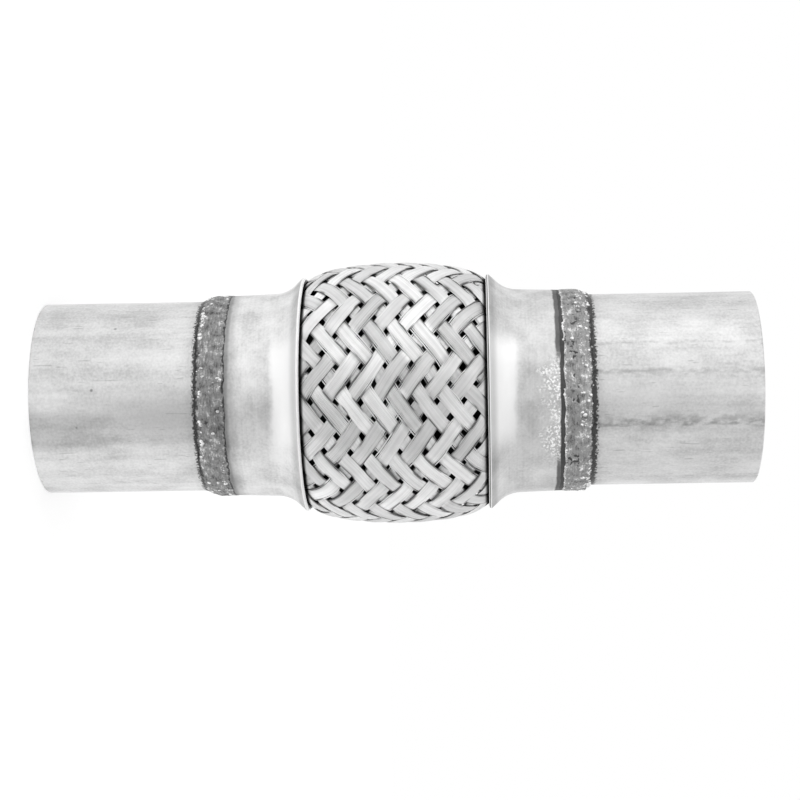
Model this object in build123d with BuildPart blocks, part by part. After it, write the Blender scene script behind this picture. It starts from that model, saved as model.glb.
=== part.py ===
"""A flexible exhaust repair pipe for a 51 mm bore exhaust, 200 mm long over all, in millimetres.

Two plain extension pipes are welded into the pressed collars of a flexible unit. The unit is a
thin corrugated bellows over an interlocked liner, under a barrel-shaped braid of flat wire strands.
The pipe stands on its inlet end: the origin is the centre of that end and +Z is the way the gas flows.
"""
from build123d import *
from functools import cache
import math
import os

# overall sizes
overall_length = 200.0
flex_length = 100.0

# extension pipes
bore_radius = 25.5
pipe_wall = 1.5
pipe_insertion = 12.0
mouth_chamfer = 0.3

# pressed collars, a straight neck on the pipe that opens into a bell over the braid
collar_slip = 0.1
collar_wall = 1.2
collar_neck_length = 15.5
collar_neck_growth = 0.5
bell_bend_radius = 9.6
bell_angle = 43.0
bell_run = 3.2
bell_rounding = 0.35
bell_clearance = 0.65

# fillet welds round the collars' outer edges
weld_width = 8.6
weld_overlap_on_collar = 4.0
weld_height_on_pipe = 1.35
weld_fullness = 0.7
weld_height_on_collar = 0.25
weld_toe = 0.1

# what lies inside the flexible unit, from the bore outwards
layer_gap = 0.1
liner_strip = 0.4
liner_rib_height = 1.4
liner_rib_pitch = 4.0
liner_rib_width = 2.0
ring_wall = 1.0
ring_length = 13.0
pipe_to_ring_gap = 0.5
bellows_wall = 0.3
bellows_cuff_overlap = 9.0
convolution_pitch = 5.0
bellows_to_braid_gap = 0.6

# outer braid, as many strands wound right-handed as left-handed, each two over and two under
braid_rise_over_pipe = 10.0
braid_crown = 3.0
braid_shoulder_power = 8
braid_tuck = 0.5
strand_pairs_each_way = 12
strand_angle = 55.0
strand_fill = 0.8
strand_thickness = 0.35
crossing_gap = 0.16
crossing_flat = 0.4

# places worked out from the sizes above
middle = overall_length / 2
pipe_radius = bore_radius + pipe_wall
inlet_collar_end = middle - flex_length / 2
pipe_length = inlet_collar_end + pipe_insertion

neck_radius = pipe_radius + collar_slip + collar_wall / 2
bell_foot = inlet_collar_end + collar_neck_length
bell_foot_radius = neck_radius + collar_neck_growth
bell_slope = math.radians(bell_angle)
bell_straight_start = bell_foot + bell_bend_radius * math.sin(bell_slope)
bell_straight_radius = bell_foot_radius + bell_bend_radius * (1 - math.cos(bell_slope))
lip = bell_straight_start + bell_run * math.cos(bell_slope)
lip_radius = bell_straight_radius + bell_run * math.sin(bell_slope)
lip_inner_corner = lip + collar_wall / 2 * math.sin(bell_slope)

liner_radius = bore_radius + layer_gap
ring_radius = liner_radius + liner_strip + layer_gap
ring_start = pipe_length + pipe_to_ring_gap
ring_end = ring_start + ring_length
bellows_radius = ring_radius + ring_wall + layer_gap
bellows_start = ring_end - bellows_cuff_overlap
liner_rib_count = int((overall_length - 2 * ring_end) / liner_rib_pitch)
convolution_count = int((overall_length - 2 * lip_inner_corner) / convolution_pitch) - 1

strands_each_way = 2 * strand_pairs_each_way
turn_per_crossing = 180.0 / strands_each_way
strand_level = (strand_thickness + crossing_gap) / 2
braid_half_depth = strand_level + strand_thickness / 2
braid_radius = pipe_radius + braid_rise_over_pipe
strand_tilt = math.radians(strand_angle)
strand_step = (braid_radius - braid_half_depth) * math.radians(turn_per_crossing) / math.sin(strand_tilt)
strand_width = strand_fill * strand_step * math.sin(2 * strand_tilt)
integration_turn = 0.25
slope_reach = 0.01


def bell_inner_radius(height):
    """Radius of the collar's inner face at a height in or above the bell of the inlet collar."""
    rise = height - bell_foot
    bend = bell_bend_radius + collar_wall / 2
    if rise < bend * math.sin(bell_slope):
        return bell_foot_radius + bell_bend_radius - math.sqrt(bend**2 - rise**2)
    past_bend = rise - bend * math.sin(bell_slope)
    bend_top = bell_foot_radius + bell_bend_radius - bend * math.cos(bell_slope)
    return bend_top + past_bend * math.tan(bell_slope)


def braid_mid_radius(height):
    """Radius halfway through the braid, a barrel between the lips that tucks into both bells."""
    from_middle = abs(height - middle)
    lip_from_middle = middle - lip_inner_corner
    if from_middle > lip_from_middle:
        return bell_inner_radius(middle - from_middle) - bell_clearance - braid_half_depth
    share = from_middle / lip_from_middle
    lip_drop = braid_radius - (bell_inner_radius(lip_inner_corner) - bell_clearance)
    shoulder = lip_drop - braid_crown
    outer = braid_radius - braid_crown * share**2 - shoulder * share**braid_shoulder_power
    return outer - braid_half_depth


@cache
def height_at(turn):
    """Height that a strand has reached after a turn in degrees from the middle of the pipe.

    The strands cross like a garden trellis: the length between two crossings stays the same,
    so a strand lies flatter round the pipe where the braid is wider.
    """
    steps = max(1, round(abs(turn) / integration_turn))
    turn_step = abs(turn) / steps
    travel = strand_step * turn_step / turn_per_crossing
    height = middle
    for _ in range(steps):
        around = braid_mid_radius(height) * math.radians(turn_step)
        rise = braid_mid_radius(height + slope_reach) - braid_mid_radius(height - slope_reach)
        slope = rise / (2 * slope_reach)
        height += math.sqrt((travel**2 - around**2) / (1 + slope**2))
    return height if turn >= 0 else overall_length - height


def braid_point(angle, turn):
    """Point halfway through the braid at an angle, where a strand has made a turn."""
    height = height_at(turn)
    radius = braid_mid_radius(height)
    return Vector(radius * math.cos(math.radians(angle)), radius * math.sin(math.radians(angle)), height)


def strand_direction(angle, turn, hand):
    """Direction of a strand of either hand where it passes an angle and a turn."""
    before = braid_point(angle - hand * integration_turn, turn - integration_turn)
    after = braid_point(angle + hand * integration_turn, turn + integration_turn)
    return (after - before).normalized()


def crossings_to_bell():
    """How many crossings a strand makes from the middle until its end is tucked into a bell."""
    tucked_height = overall_length - lip_inner_corner + braid_tuck
    count = 1
    while height_at((count - 0.5 + crossing_flat) * turn_per_crossing) < tucked_height:
        count += 1
    return count


def strand_sections(first_angle, hand):
    """Planes and widths of the sections of one strand, two where it crosses each other strand.

    A section is raised or sunk as its strand passes over or under, which depends only on the
    angle round the pipe. It lies along the strand that is crossed, so that the step from over
    to under falls in the slit between two of them.
    """
    sections = []
    crossings_each_side = crossings_to_bell()
    for crossing in range(-crossings_each_side, crossings_each_side):
        crossing_turn = (crossing + 0.5) * turn_per_crossing
        crossing_angle = first_angle + hand * crossing_turn
        right_hand_is_over = int(crossing_angle // (2 * turn_per_crossing)) % 2 == 0
        level = strand_level if right_hand_is_over == (hand > 0) else -strand_level
        for side in (-1, 1):
            turn = crossing_turn + side * crossing_flat * turn_per_crossing
            angle = first_angle + hand * turn
            along = strand_direction(angle, turn, hand)
            across = strand_direction(angle, turn, -hand)
            outward = along.cross(across).normalized() * hand
            centre = braid_point(angle, turn) + outward * level
            section = Plane(origin=centre, x_dir=across, z_dir=outward.cross(across))
            sections.append((section, strand_width / along.cross(across).length))
    return sections


os.makedirs("parts", exist_ok=True)

# inlet extension pipe, a plain tube with both mouths deburred
with BuildPart() as inlet_pipe:
    with BuildSketch(Plane.XY):
        Circle(pipe_radius)
        Circle(bore_radius, mode=Mode.SUBTRACT)
    extrude(amount=pipe_length)
    chamfer(inlet_pipe.edges(), length=mouth_chamfer)

# inlet collar, one pressed sheet whose section follows a line, a bend and a short flared run
with BuildPart() as inlet_collar:
    with BuildSketch(Plane.XZ):
        with BuildLine():
            Line((neck_radius, inlet_collar_end), (bell_foot_radius, bell_foot))
            ThreePointArc(
                (bell_foot_radius, bell_foot),
                (
                    bell_foot_radius + bell_bend_radius * (1 - math.cos(bell_slope / 2)),
                    bell_foot + bell_bend_radius * math.sin(bell_slope / 2),
                ),
                (bell_straight_radius, bell_straight_start),
            )
            Line((bell_straight_radius, bell_straight_start), (lip_radius, lip))
        trace(line_width=collar_wall)
    revolve(axis=Axis.Z)
    fillet(inlet_collar.edges().sort_by(Axis.Z)[-2:], radius=bell_rounding)

# inlet weld, a bead that climbs from the pipe onto the collar's edge
weld_end = inlet_collar_end + weld_overlap_on_collar
weld_start = weld_end - weld_width
collar_edge_radius = neck_radius + collar_wall / 2
growth_under_weld = collar_neck_growth * weld_overlap_on_collar / collar_neck_length
with BuildPart() as inlet_weld:
    with BuildSketch(Plane.XZ):
        with BuildLine():
            crown = (collar_edge_radius + weld_height_on_collar, inlet_collar_end)
            ThreePointArc(
                (pipe_radius, weld_start),
                (
                    pipe_radius + weld_height_on_pipe * weld_fullness,
                    (weld_start + inlet_collar_end) / 2,
                ),
                crown,
            )
            toe = (collar_edge_radius + growth_under_weld + weld_toe, weld_end)
            Spline(crown, toe, tangents=[(0, 1), (-weld_height_on_collar, weld_overlap_on_collar)])
            Polyline(
                toe,
                (neck_radius, weld_end),
                (neck_radius, inlet_collar_end + collar_slip),
                (pipe_radius, inlet_collar_end + collar_slip),
                (pipe_radius, weld_start),
            )
        make_face()
    revolve(axis=Axis.Z)
    add(inlet_collar.part, mode=Mode.SUBTRACT)

# inner ring that backs the bellows cuff inside the bell
with BuildPart() as inlet_inner_ring:
    with BuildSketch(Plane.XY.offset(ring_start)):
        Circle(ring_radius + ring_wall)
        Circle(ring_radius, mode=Mode.SUBTRACT)
    extrude(amount=ring_length)

# the outlet end mirrors the inlet end about the middle of the pipe
with BuildPart() as outlet_pipe:
    mirror(inlet_pipe.part, about=Plane.XY.offset(middle))
with BuildPart() as outlet_collar:
    mirror(inlet_collar.part, about=Plane.XY.offset(middle))
with BuildPart() as outlet_weld:
    mirror(inlet_weld.part, about=Plane.XY.offset(middle))
with BuildPart() as outlet_inner_ring:
    mirror(inlet_inner_ring.part, about=Plane.XY.offset(middle))

# bellows, a thin tube with deep rounded convolutions between two plain cuffs
bellows_mid_radius = bellows_radius + bellows_wall / 2
curl = convolution_pitch / 4
first_convolution = middle - convolution_count * convolution_pitch / 2
braid_inside = braid_mid_radius(first_convolution + 2 * curl) - braid_half_depth
crest_mid_radius = braid_inside - bellows_to_braid_gap - bellows_wall / 2
with BuildPart() as bellows:
    with BuildSketch(Plane.XZ):
        with BuildLine():
            Line((bellows_mid_radius, bellows_start), (bellows_mid_radius, first_convolution))
            for convolution in range(convolution_count):
                foot = first_convolution + convolution * convolution_pitch
                root_top = bellows_mid_radius + curl
                crest_foot = crest_mid_radius - curl
                RadiusArc((bellows_mid_radius, foot), (root_top, foot + curl), curl)
                Line((root_top, foot + curl), (crest_foot, foot + curl))
                ThreePointArc(
                    (crest_foot, foot + curl),
                    (crest_mid_radius, foot + 2 * curl),
                    (crest_foot, foot + 3 * curl),
                )
                Line((crest_foot, foot + 3 * curl), (root_top, foot + 3 * curl))
                RadiusArc((root_top, foot + 3 * curl), (bellows_mid_radius, foot + 4 * curl), curl)
            Line(
                (bellows_mid_radius, overall_length - first_convolution),
                (bellows_mid_radius, overall_length - bellows_start),
            )
        trace(line_width=bellows_wall)
    revolve(axis=Axis.Z)

# liner, the interlocked strip drawn as one ribbed tube with plain ends inside the rings
liner_start = ring_start
first_rib = middle - (liner_rib_count - 1) * liner_rib_pitch / 2
with BuildPart() as liner:
    with BuildSketch(Plane.XY.offset(liner_start)):
        Circle(liner_radius + liner_strip)
    extrude(amount=overall_length - 2 * liner_start)
    for rib in range(liner_rib_count):
        rib_start = first_rib + rib * liner_rib_pitch - liner_rib_width / 2
        with BuildSketch(Plane.XY.offset(rib_start)):
            Circle(liner_radius + liner_rib_height)
        extrude(amount=liner_rib_width)
    with BuildSketch(Plane.XY.offset(liner_start)):
        Circle(liner_radius)
    extrude(amount=overall_length - 2 * liner_start, mode=Mode.SUBTRACT)
    for rib in range(liner_rib_count):
        groove_start = first_rib + rib * liner_rib_pitch - liner_rib_width / 2 + liner_strip
        with BuildSketch(Plane.XY.offset(groove_start)):
            Circle(liner_radius + liner_rib_height - liner_strip)
        extrude(amount=liner_rib_width - 2 * liner_strip, mode=Mode.SUBTRACT)

# every piece but the strands, each to a file of its own
single_pieces = {
    "inlet_pipe": inlet_pipe,
    "outlet_pipe": outlet_pipe,
    "inlet_collar": inlet_collar,
    "outlet_collar": outlet_collar,
    "inlet_weld": inlet_weld,
    "outlet_weld": outlet_weld,
    "inlet_inner_ring": inlet_inner_ring,
    "outlet_inner_ring": outlet_inner_ring,
    "bellows": bellows,
    "liner": liner,
}
for name, piece in single_pieces.items():
    piece.part.label = name
    export_step(piece.part, f"parts/{name}.step")

# braid strands, a right-handed set and a left-handed set that start half a strand apart
for hand_name, hand, start_angle in (("right", 1, 0.0), ("left", -1, turn_per_crossing)):
    for number in range(strands_each_way):
        first_angle = start_angle + number * 2 * turn_per_crossing
        with BuildPart() as strand:
            for section, section_width in strand_sections(first_angle, hand):
                with BuildSketch(section):
                    Rectangle(section_width, strand_thickness)
            loft(ruled=True)
        strand.part.label = f"{hand_name}_strand_{number + 1:02d}"
        export_step(strand.part, f"parts/{strand.part.label}.step")
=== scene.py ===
import math
import random

import bmesh
import bpy
from mathutils import Matrix, Vector, noise


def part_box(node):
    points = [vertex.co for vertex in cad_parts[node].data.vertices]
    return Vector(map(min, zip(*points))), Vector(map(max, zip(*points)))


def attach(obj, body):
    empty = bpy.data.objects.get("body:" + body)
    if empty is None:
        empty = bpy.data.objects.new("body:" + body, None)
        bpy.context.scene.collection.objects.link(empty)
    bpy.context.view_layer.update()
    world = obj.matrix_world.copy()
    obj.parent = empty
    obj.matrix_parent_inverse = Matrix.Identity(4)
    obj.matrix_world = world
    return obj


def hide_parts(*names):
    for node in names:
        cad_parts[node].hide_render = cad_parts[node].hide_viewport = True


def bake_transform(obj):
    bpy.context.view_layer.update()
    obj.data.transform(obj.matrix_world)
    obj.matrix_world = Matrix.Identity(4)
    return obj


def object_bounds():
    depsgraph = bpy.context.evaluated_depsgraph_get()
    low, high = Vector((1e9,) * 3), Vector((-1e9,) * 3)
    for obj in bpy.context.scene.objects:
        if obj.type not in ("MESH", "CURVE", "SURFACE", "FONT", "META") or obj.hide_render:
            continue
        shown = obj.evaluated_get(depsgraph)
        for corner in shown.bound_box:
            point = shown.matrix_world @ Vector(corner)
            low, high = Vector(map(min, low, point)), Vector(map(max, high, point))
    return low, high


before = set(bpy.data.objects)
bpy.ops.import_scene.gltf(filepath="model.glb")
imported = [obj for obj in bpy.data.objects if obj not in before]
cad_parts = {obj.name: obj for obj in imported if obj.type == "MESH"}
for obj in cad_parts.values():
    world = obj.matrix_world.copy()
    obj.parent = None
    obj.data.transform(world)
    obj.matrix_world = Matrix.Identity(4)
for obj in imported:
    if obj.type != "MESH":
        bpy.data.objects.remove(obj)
cad_low, cad_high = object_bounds()

mm = 0.001
weave_seed = 5
# without a seed, the weave's noise differs from run to run
noise.seed_set(weave_seed)

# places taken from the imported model
overall_length = cad_high.z
middle = overall_length / 2
braid_radius = cad_high.x
pipe_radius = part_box("inlet_pipe")[1].x
pipe_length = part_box("inlet_pipe")[1].z
collar_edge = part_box("inlet_collar")[0].z
weld_low, weld_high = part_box("inlet_weld")
bellows_low, bellows_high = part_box("bellows")
liner_low, liner_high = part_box("liner")
ring_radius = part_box("inlet_inner_ring")[1].x

# sizes of the pressed parts and the braid, as in the model's source
pipe_wall = 1.5 * mm
mouth_chamfer = 0.3 * mm
collar_slip = 0.1 * mm
collar_wall = 1.2 * mm
collar_neck_length = 15.5 * mm
collar_neck_growth = 0.5 * mm
bell_bend_radius = 9.6 * mm
bell_slope = math.radians(43)
bell_run = 3.2 * mm
bell_clearance = 0.65 * mm
bell_rounding = 0.35 * mm
weld_toe = 0.1 * mm
layer_gap = 0.1 * mm
bellows_wall = 0.3 * mm
convolution_count = 9
convolution_pitch = 5.0 * mm
liner_strip = 0.4 * mm
liner_rib_pitch = 4.0 * mm
braid_crown = 3.0 * mm
braid_shoulder_power = 8
strands_each_way = 24
strand_tilt = math.radians(55)
strand_fill = 0.8
strand_thickness = 0.35 * mm
crossing_gap = 0.16 * mm
turn_per_crossing = math.pi / strands_each_way

# the strands' own look: bundles of round wires in arched floats, a little unevenly woven
wires_in_strand = 12
wire_radius = 0.19 * mm
wire_spread = 0.90
float_fullness = 0.5
strand_level = (strand_thickness + crossing_gap) / 2
float_height = strand_level / math.sin(math.pi / 4) ** float_fullness
crossings_each_side = 8
rows_per_crossing = 5
strand_wander = 0.40 * mm
wander_pace = 0.09
weave_slack = 0.5 * mm
weave_slack_size = 12 * mm
weave_slack_reach = 5 * mm

braid_half_depth = float_height + wire_radius
strand_step = (braid_radius - braid_half_depth) * turn_per_crossing / math.sin(strand_tilt)
strand_width = strand_fill * strand_step * math.sin(2 * strand_tilt)

# where the collar's section turns, and its outer edge
neck_radius = pipe_radius + collar_slip + collar_wall / 2
bell_foot = collar_edge + collar_neck_length
bell_foot_radius = neck_radius + collar_neck_growth
bell_centre_radius = bell_foot_radius + bell_bend_radius
lip = bell_foot + bell_bend_radius * math.sin(bell_slope) + bell_run * math.cos(bell_slope)
lip_inner_corner = lip + collar_wall / 2 * math.sin(bell_slope)

# where the scuffs and the inlet's dark streak lie, turned from the front
scuff_turn = math.radians(12)
dark_streak_turn = math.radians(20)
pit_spacing = 10 * mm
# painted reflection bands along the outlet pipe's front: places across the pipe, from 0 at -X to 1 at +X,
# and their shades
reflection_band_wobble = 0.05
painted_reflection_bands = [
    (0.0, "#FFFFFF"), (0.263, "#FFFFFF"), (0.271, "#E6E6E6"), (0.279, "#FFFFFF"),
    (0.390, "#FFFFFF"), (0.412, "#D4D4D4"), (0.436, "#F0F0F0"), (0.48, "#FFFFFF"),
    (0.600, "#FFFFFF"), (0.665, "#D6D6D6"), (0.684, "#BEBEBE"), (0.696, "#F4F4F4"), (1.0, "#FFFFFF"),
]


def linear(hex_colour):
    """Linear colour with alpha from an sRGB hex value."""
    parts = [int(hex_colour[i:i + 2], 16) / 255 for i in (1, 3, 5)]
    return [p / 12.92 if p <= 0.04045 else ((p + 0.055) / 1.055) ** 2.4 for p in parts] + [1.0]


def add(tree, kind, inputs=(), stops=(), **settings):
    """Adds a node with its settings, and sets or links its inputs, given in order or by name. A
    node given as an input stands for its first output, and stops are those of a colour ramp."""
    node = tree.nodes.new(kind)
    for name, value in settings.items():
        setattr(node, name, value)
    for number, (position, colour) in enumerate(stops):
        elements = node.color_ramp.elements
        stop = elements[number] if number < 2 else elements.new(position)
        stop.position, stop.color = position, linear(colour)
    if isinstance(inputs, dict):
        pairs = [(node.inputs[name], value) for name, value in inputs.items()]
    else:
        pairs = zip([socket for socket in node.inputs if socket.enabled], inputs)
    for socket, value in pairs:
        if isinstance(value, bpy.types.Node):
            value = next(output for output in value.outputs if output.enabled)
        if isinstance(value, bpy.types.NodeSocket):
            tree.links.new(value, socket)
        else:
            socket.default_value = value
    return node


# settings of nodes used often
soft_step = {"interpolation_type": "SMOOTHSTEP"}
tint = {"data_type": "RGBA"}
darken = {"data_type": "RGBA", "blend_type": "MULTIPLY"}
white = linear("#FFFFFF")


def new_material(name):
    """Empty material and its tree."""
    material = bpy.data.materials.new(name)
    material.use_nodes = True
    tree = material.node_tree
    tree.nodes.clear()
    return material, tree


def cloud(tree, place, size, detail=4.0, stretch=(1, 1, 1)):
    """Noise whose clouds are about the given size across, drawn out along the axes by stretch."""
    scale = [1 / (size * along) for along in stretch]
    mapped = add(tree, "ShaderNodeMapping", {"Vector": place, "Scale": scale})
    return add(tree, "ShaderNodeTexNoise", {"Vector": mapped, "Scale": 1.0, "Detail": detail})


def ragged(tree, place, distance, size, amount, detail=3.0):
    """A distance with clouds of an amount added, so that what ends there ends raggedly."""
    clouds = cloud(tree, place, size, detail)
    return add(tree, "ShaderNodeMath", [clouds, amount, distance], operation="MULTIPLY_ADD")


def height_from_middle(tree, place):
    """Distance along the axis from the middle of the pipe."""
    height = add(tree, "ShaderNodeSeparateXYZ", [place]).outputs["Z"]
    off = add(tree, "ShaderNodeMath", [height, middle], operation="SUBTRACT")
    return add(tree, "ShaderNodeMath", [off], operation="ABSOLUTE")


def facing_share(tree, place, turn=0.0):
    """Cosine between a spot's direction from the axis and a direction turned from the front, -Y."""
    flat = add(tree, "ShaderNodeVectorMath", [place, (1, 1, 0)], operation="MULTIPLY")
    away = add(tree, "ShaderNodeVectorMath", [flat], operation="NORMALIZE")
    towards = (math.sin(turn), -math.cos(turn), 0)
    return add(tree, "ShaderNodeVectorMath", [away, towards], operation="DOT_PRODUCT")


def share_within(tree, *limits):
    """Share of a surface inside soft limits, each a measure, its two ends and the share at each."""
    share = 1.0
    for limit in limits:
        step = add(tree, "ShaderNodeMapRange", limit, **soft_step)
        share = add(tree, "ShaderNodeMath", [share, step], operation="MULTIPLY")
    return share


def worn_and_shaded(tree, colour, *wear_and_shading):
    """Darkens a colour by soft wear and painted shade, each a measure, its two ends and the shade at each.
    """
    for shading in wear_and_shading:
        shade = add(tree, "ShaderNodeMapRange", shading, **soft_step)
        colour = add(tree, "ShaderNodeMix", [1.0, colour, shade], **darken)
    return colour


def end_in_metal(tree, colour, roughness, relief=None, strength=0.0, depth=0.0, metallic=1.0):
    """Ends a material's tree in a metal, with fine relief if it has any."""
    look = {"Base Color": colour, "Metallic": metallic, "Roughness": roughness}
    if relief is not None:
        bump = {"Height": relief, "Strength": strength, "Distance": depth}
        look["Normal"] = add(tree, "ShaderNodeBump", bump)
    shader = add(tree, "ShaderNodeBsdfPrincipled", look)
    add(tree, "ShaderNodeOutputMaterial", {"Surface": shader})


def outlet_painted_reflection(tree, place):
    """Painted reflection: long darker bands along the front of the outlet pipe, a little unsteady and
    patchy.
    """
    apart = add(tree, "ShaderNodeSeparateXYZ", [place]).outputs
    clouds = cloud(tree, place, 3 * mm, 5.0, (1, 1, 3))
    wobble = [clouds, reflection_band_wobble, 0.5 - reflection_band_wobble / 2]
    wobbled = add(tree, "ShaderNodeMath", wobble, operation="MULTIPLY_ADD")
    across = add(tree, "ShaderNodeMath", [apart["X"], 0.5 / pipe_radius, wobbled], operation="MULTIPLY_ADD")
    streaks = add(tree, "ShaderNodeValToRGB", [across], painted_reflection_bands)
    patches = cloud(tree, place, 1.5 * mm, 5.0, (1, 1, 2))
    share = share_within(
        tree,
        (patches, 0.36, 0.62, 0.1, 1.0),
        (apart["Z"], middle, middle + mm, 0.0, 1.0),
        (facing_share(tree, place), 0.0, 0.3, 0.0, 1.0),
    )
    return add(tree, "ShaderNodeMix", [share, white, streaks], **tint)


def rolled_tube_steel():
    """Cold rolled mild steel tube: pale and dull, mottled and clouded from handling, with faint
    drawing marks, a few dark specks, and a ragged black edge where the weld has burnt it. Mottle,
    marks and scratches are drawn coarser than they are, so that they show."""
    material, tree = new_material("rolled tube steel")
    place = add(tree, "ShaderNodeTexCoord").outputs["Object"]
    tone = cloud(tree, place, 8 * mm, 4.0, (1, 1, 1.5))
    mottle = cloud(tree, place, 0.7 * mm)
    marks = cloud(tree, place, 0.8 * mm, 2.0, (1, 1, 7))
    bands = cloud(tree, place, 3.0 * mm, 1.0, (1, 1, 30))
    for weight, pattern in ((0.43, mottle), (0.15, marks), (0.20, bands)):
        tone = add(tree, "ShaderNodeMix", [weight, tone, pattern])
    greys = [(0.37, "#C4C4C4"), (0.5, "#DADADA"), (0.62, "#E8E8E8")]
    colour = add(tree, "ShaderNodeValToRGB", [tone], greys)
    scratches = cloud(tree, place, 0.55 * mm, 0.0, (1, 1, 9))
    pits = add(tree, "ShaderNodeTexVoronoi", {"Vector": place, "Scale": 1 / pit_spacing})
    from_middle = height_from_middle(tree, place)
    past_weld = add(tree, "ShaderNodeMath", [from_middle, middle - weld_low.z], operation="SUBTRACT")
    burnt_edge = ragged(tree, place, past_weld, 0.6 * mm, -3.0 * mm, 4.0)
    smudge_edge = ragged(tree, place, past_weld, 2.5 * mm, -7 * mm)
    # a long darker streak on the inlet pipe, from its mouth to half way
    height = add(tree, "ShaderNodeSeparateXYZ", [place]).outputs["Z"]
    dark_streak_end = ragged(tree, place, height, 5 * mm, 25 * mm)
    dark_streak_side = facing_share(tree, place, dark_streak_turn)
    inlet_dark_streak = share_within(tree, (dark_streak_end, 22 * mm, 42 * mm, 1.0, 0.0), (dark_streak_side, 0.965, 0.992, 0.0, 1.0))
    colour = worn_and_shaded(
        tree,
        colour,
        (scratches, 0.77, 0.82, 1.0, 0.78),
        (pits, 0.02, 0.06, 0.5, 1.0),
        (burnt_edge, -1.45 * mm, -0.75 * mm, 0.14, 1.0),
        (past_weld, -0.5 * mm, 3.5 * mm, 0.84, 1.0),
        (smudge_edge, weld_low.z - 4.0 * mm, weld_low.z - 2.0 * mm, 1.0, 0.86),
        (inlet_dark_streak, 0.0, 1.0, 1.0, 0.78),
    )
    # painted reflection bands on the outlet pipe's front
    colour = add(tree, "ShaderNodeMix", [1.0, colour, outlet_painted_reflection(tree, place)], **darken)
    rough = add(tree, "ShaderNodeMapRange", [tone, 0.38, 0.62, 0.48, 0.36], **soft_step)
    relief = add(tree, "ShaderNodeMix", [0.5, marks, mottle])
    end_in_metal(tree, colour, rough, relief, 0.2, 0.03 * mm)
    return material


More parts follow.
